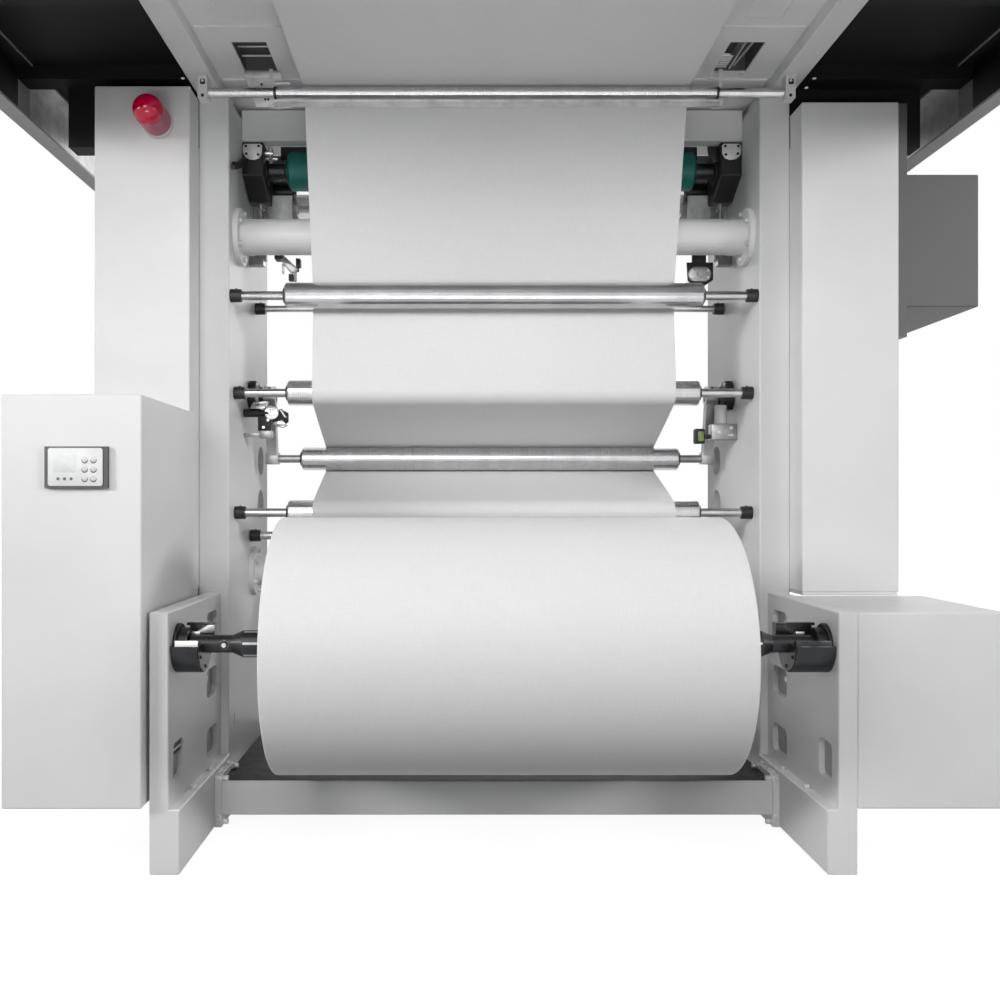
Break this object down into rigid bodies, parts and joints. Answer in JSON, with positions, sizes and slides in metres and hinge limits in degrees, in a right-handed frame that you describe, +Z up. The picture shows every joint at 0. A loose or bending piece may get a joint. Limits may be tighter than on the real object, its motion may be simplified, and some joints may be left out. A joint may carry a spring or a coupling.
{
  "type": "flexographic press reel and infeed section",
  "caption": "Reel stand and infeed of a flexographic press: jumbo roll on safety chucks, idlers, dancer and nip between side frames, under an overhead web bridge with walkways.",
  "frame": {"origin": "on the floor, under the jumbo roll's axis, on the machine's centre line", "axes": "+X across the machine to the drive side, +Y away from the operator, +Z up"},
  "size_m": [3.12, 2.292, 2.468],
  "materials": {
    "white_paint": "light grey powder coat, satin",
    "black_paint": "black paint, satin",
    "girder_paint": "mid grey paint, satin",
    "blower_paint": "dark grey paint, matt",
    "panel_plastic": "moulded, matt",
    "beacon_lens": "clear red lens, glossy",
    "roller_aluminium": "turned and polished",
    "roller_chrome": "chromed, fine ground",
    "bright_steel": "ground, bright",
    "dark_steel": "blackened, oiled",
    "nip_rubber": "ground rubber, matt",
    "woven_fabric": "woven polypropylene tape fabric, faint sheen"
  },
  "bodies": {
    "root": {"left_side_frame": "white_paint", "right_side_frame": "white_paint", "left_roll_stand": "white_paint", "right_roll_stand": "white_paint", "front_cross_beam": "white_paint", "left_frame_cover": "white_paint", "right_frame_cover": "white_paint", "control_cabinet": "white_paint", "drive_housing": "white_paint", "upper_tie_tube": "white_paint", "lower_tie_tube": "white_paint", "top_tie_beam": "white_paint", "left_bridge_beam": "white_paint", "right_bridge_beam": "white_paint", "bridge_panel": "white_paint", "tread_plate": "black_paint", "left_platform_deck": "black_paint", "right_platform_deck": "black_paint", "left_platform_bracket": "black_paint", "right_platform_bracket": "black_paint", "left_nip_housing": "black_paint", "right_nip_housing": "black_paint", "left_platform_girder": "girder_paint", "right_platform_girder": "girder_paint", "blower_box": "blower_paint", "control_panel": "panel_plastic", "warning_beacon": "beacon_lens", "sensor_bar": "bright_steel", "left_nip_cylinder": "bright_steel", "right_nip_cylinder": "bright_steel", "left_chuck_flange": "dark_steel", "right_chuck_flange": "dark_steel", "web_infeed": "woven_fabric", "web_dancer_loop": "woven_fabric", "web_riser": "woven_fabric", "web_overhead": "woven_fabric"},
    "roll": {"jumbo_roll": "woven_fabric", "air_shaft": "dark_steel", "left_chuck_socket": "dark_steel", "right_chuck_socket": "dark_steel"},
    "dancer_arms": {"dancer_arms": "bright_steel"},
    "dancer_roller": {"dancer_roller": "roller_aluminium"},
    "nip_roller": {"nip_roller": "nip_rubber"},
    "pull_drum": {"pull_drum": "roller_chrome"},
    "top_idler": {"top_idler": "roller_aluminium"},
    "end_idler": {"end_idler": "roller_aluminium"},
    "spreader_roller": {"spreader_roller": "roller_chrome"},
    "upper_idler": {"upper_idler": "roller_aluminium"},
    "lower_idler": {"lower_idler": "roller_aluminium"},
    "rear_idler": {"rear_idler": "roller_aluminium"}
  },
  "joints": [
    {"name": "roll_spin", "type": "hinge", "parent": "root", "child": "roll", "pos_m": [0, 0, 0.616], "axis": [1, 0, 0], "continuous": true},
    {"name": "top_idler_spin", "type": "hinge", "parent": "root", "child": "top_idler", "pos_m": [0, 0.35, 2.317], "axis": [1, 0, 0], "continuous": true},
    {"name": "end_idler_spin", "type": "hinge", "parent": "root", "child": "end_idler", "pos_m": [0, -1, 2.317], "axis": [1, 0, 0], "continuous": true},
    {"name": "spreader_roller_spin", "type": "hinge", "parent": "root", "child": "spreader_roller", "pos_m": [0, 0.52, 1.709], "axis": [1, 0, 0], "continuous": true},
    {"name": "upper_idler_spin", "type": "hinge", "parent": "root", "child": "upper_idler", "pos_m": [0, 0.573, 1.388], "axis": [1, 0, 0], "continuous": true},
    {"name": "lower_idler_spin", "type": "hinge", "parent": "root", "child": "lower_idler", "pos_m": [0, 0.582, 0.979], "axis": [1, 0, 0], "continuous": true},
    {"name": "rear_idler_spin", "type": "hinge", "parent": "root", "child": "rear_idler", "pos_m": [0, 0.832, 0.892], "axis": [1, 0, 0], "continuous": true},
    {"name": "drum_spin", "type": "hinge", "parent": "root", "child": "pull_drum", "pos_m": [0, 0.95828, 2.2], "axis": [1, 0, 0], "continuous": true},
    {"name": "nip_spin", "type": "hinge", "parent": "root", "child": "nip_roller", "pos_m": [0, 0.78, 2.216], "axis": [1, 0, 0], "continuous": true},
    {"name": "dancer_swing", "type": "hinge", "parent": "root", "child": "dancer_arms", "pos_m": [0, 0.83, 1.4], "axis": [1, 0, 0], "range_deg": [-12, 12], "deforming": ["web_dancer_loop"]},
    {"name": "dancer_roller_spin", "type": "hinge", "parent": "dancer_arms", "child": "dancer_roller", "pos_m": [0, 0.88, 1.177], "axis": [1, 0, 0], "continuous": true}
  ],
  "couplings": [
    {"joint": "nip_spin", "follows": "drum_spin", "ratio": -1.6176}
  ]
}
